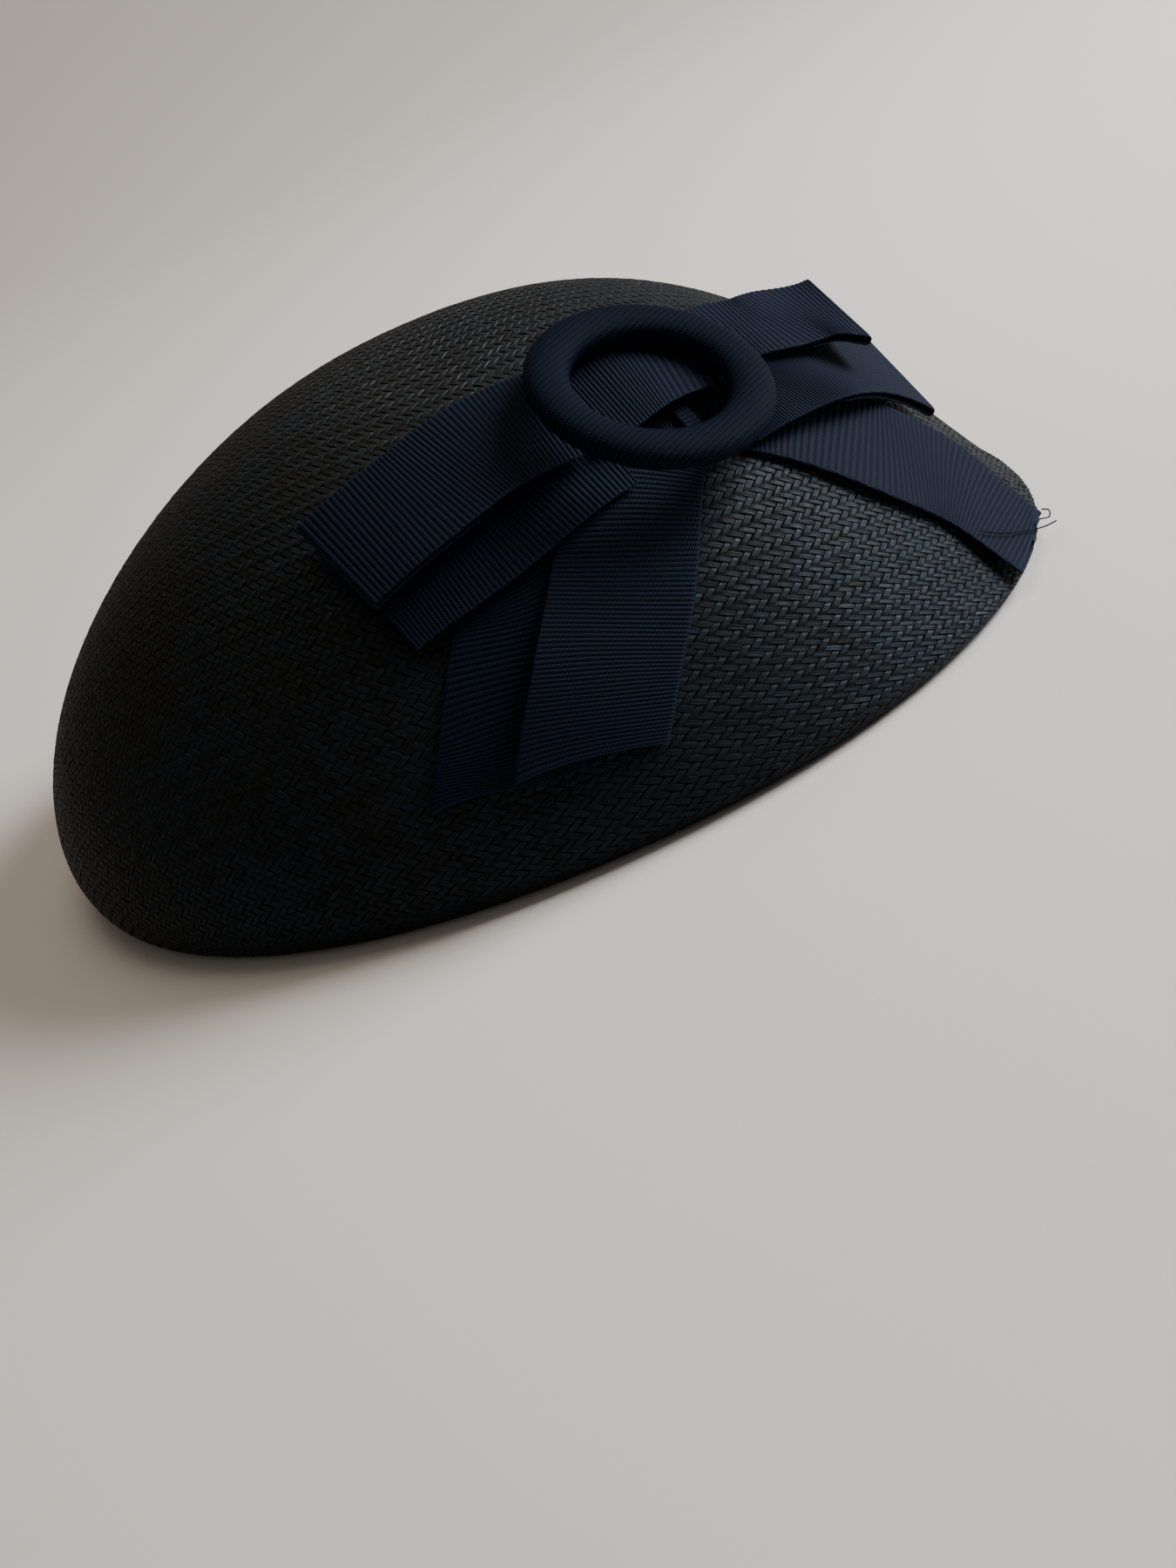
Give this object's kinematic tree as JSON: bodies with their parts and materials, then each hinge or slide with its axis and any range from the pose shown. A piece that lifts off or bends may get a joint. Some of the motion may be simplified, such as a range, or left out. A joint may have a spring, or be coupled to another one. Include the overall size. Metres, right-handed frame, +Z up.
{
  "type": "domed straw hat with ribbon trim",
  "caption": "Shallow domed straw hat, open beneath, with flat ribbon loops and tails held under a cloth-covered ring on the right of its front.",
  "frame": {"origin": "middle of the hat's box on the plane that the rim rests on", "axes": "+X towards the wearer's front, +Y towards the wearer's left, +Z up out of the crown"},
  "size_m": [0.265, 0.239, 0.0976],
  "materials": {
    "straw": "twill-woven dyed straw, satin",
    "ribbon": "ribbed grosgrain, soft sheen",
    "ring_cloth": "fine ribbed cloth over a rigid ring"
  },
  "bodies": {
    "root": {"crown": "straw", "left_upper_loop": "ribbon", "left_lower_loop": "ribbon", "front_tail": "ribbon", "rear_tail": "ribbon", "right_upper_loop": "ribbon", "right_middle_loop": "ribbon", "front_band": "ribbon", "centre_ribbon": "ribbon", "narrow_strip": "ribbon", "ring_buckle": "ring_cloth"}
  },
  "joints": []
}
